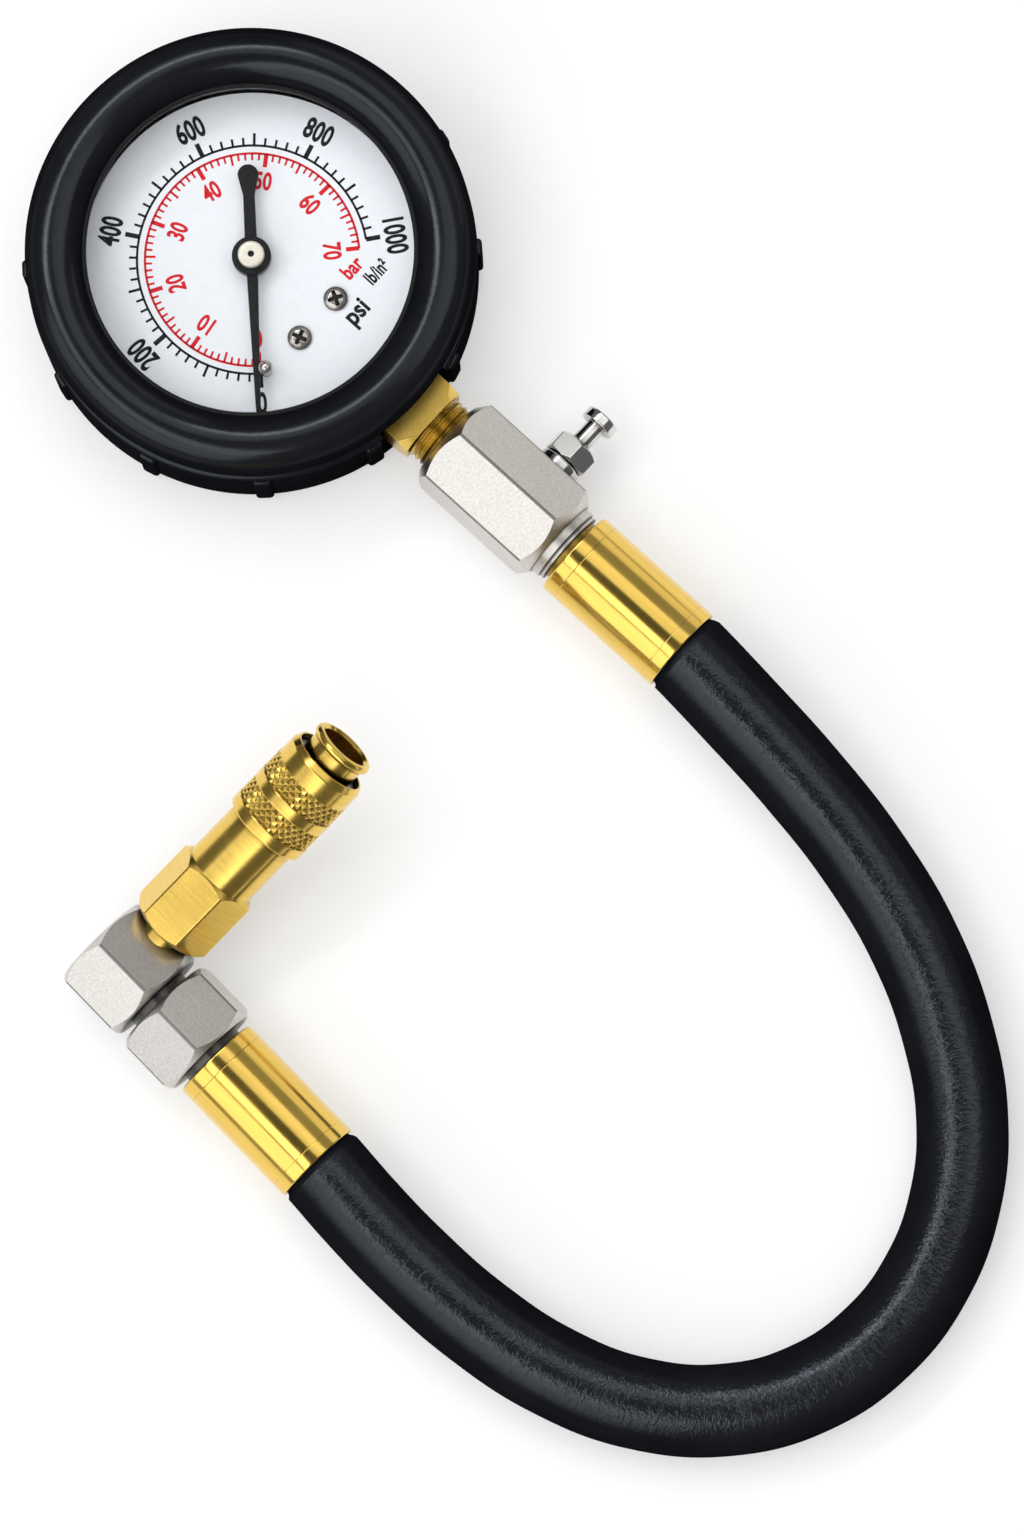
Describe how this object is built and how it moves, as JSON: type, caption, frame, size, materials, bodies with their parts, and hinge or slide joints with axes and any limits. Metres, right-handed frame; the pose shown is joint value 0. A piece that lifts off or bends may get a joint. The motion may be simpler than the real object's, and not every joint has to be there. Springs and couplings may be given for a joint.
{
  "type": "compression tester gauge",
  "caption": "Round pressure dial in a black rubber boot with a side release valve, a short curved hose and an elbow quick coupler for testing cylinder compression",
  "frame": {"origin": "centre of the boot's back, where the dial's axis meets the surface it lies on", "axes": "+Z out of the dial, -Y along the stem to the adaptor, +X the side of the release valve"},
  "size_m": [0.1635, 0.2632, 0.0365],
  "materials": {
    "rubber": "satin black moulded rubber with a faint texture",
    "hose_rubber": "satin black extruded rubber",
    "steel": "plain bright steel",
    "black_paint": "black paint, semi-gloss",
    "glass": "clear flat lens",
    "dial_paint": "matt white paint with printed scales",
    "nickel": "nickel plating, satin with bright edges",
    "chrome": "polished plating",
    "brass": "satin machined brass",
    "polished_brass": "polished drawn brass",
    "champagne": "champagne coloured satin cap"
  },
  "bodies": {
    "gauge": {"rubber_boot": "rubber", "case_cup": "steel", "bezel_ring": "black_paint", "lens_gasket": "rubber", "lens": "glass", "dial_plate": "dial_paint", "dial_screws": "chrome", "stop_pin": "chrome", "hairspring": "brass", "hairspring_stud": "brass", "tube_tip": "brass", "bourdon_tube": "brass", "back_plate": "brass", "front_plate": "brass", "plate_pillars": "brass", "plate_screws": "steel", "socket_screws": "steel", "gauge_socket": "brass", "case_screws": "steel", "adaptor_body": "nickel", "valve_body": "chrome", "valve_spring": "steel", "hose_tail": "brass", "ferrule_gauge": "polished_brass", "hose": "hose_rubber", "ferrule_coupler": "polished_brass", "hose_end_fitting": "nickel", "elbow_body": "nickel", "coupler_body": "brass", "sleeve_spring": "steel", "lock_balls": "steel", "sleeve_retainer": "steel", "coupler_seal": "rubber"},
    "pointer_set": {"pointer": "black_paint", "pointer_cap": "champagne", "pinion_shaft": "steel"},
    "sector_set": {"sector_gear": "brass", "sector_arbor": "steel", "link_pin": "steel"},
    "link_set": {"link": "brass"},
    "button_set": {"valve_button": "chrome", "valve_seal": "rubber"},
    "sleeve_set": {"coupler_sleeve": "brass"}
  },
  "joints": [
    {"name": "pointer_turn", "type": "hinge", "parent": "gauge", "child": "pointer_set", "pos_m": [0, 0, 0.0205], "axis": [0, 0, 1], "range_deg": [-265, 0], "stiffness_Nm_per_rad": 0.00002, "deforming": ["hairspring"]},
    {"name": "sector_turn", "type": "hinge", "parent": "gauge", "child": "sector_set", "pos_m": [0.01114, -0.01114, 0.0109], "axis": [0, 0, 1], "range_deg": [0, 33.2]},
    {"name": "link_turn", "type": "hinge", "parent": "sector_set", "child": "link_set", "pos_m": [0.01426, -0.01504, 0.012], "axis": [0, 0, 1], "range_deg": [-33.2, 0]},
    {"name": "valve_press", "type": "slide", "parent": "gauge", "child": "button_set", "axis": [0.9925, 0, -0.1219], "range_m": [-0.0022, 0], "stiffness_N_per_m": 400, "springref_m": 0.004, "deforming": ["valve_spring"]},
    {"name": "sleeve_slide", "type": "slide", "parent": "gauge", "child": "sleeve_set", "axis": [0.9379, -0.0574, 0.342], "range_m": [-0.004, 0], "stiffness_N_per_m": 700, "springref_m": 0.004, "deforming": ["sleeve_spring"]}
  ],
  "couplings": [
    {"joint": "sector_turn", "follows": "pointer_turn", "ratio": -0.125},
    {"joint": "link_turn", "follows": "pointer_turn", "ratio": 0.125}
  ]
}
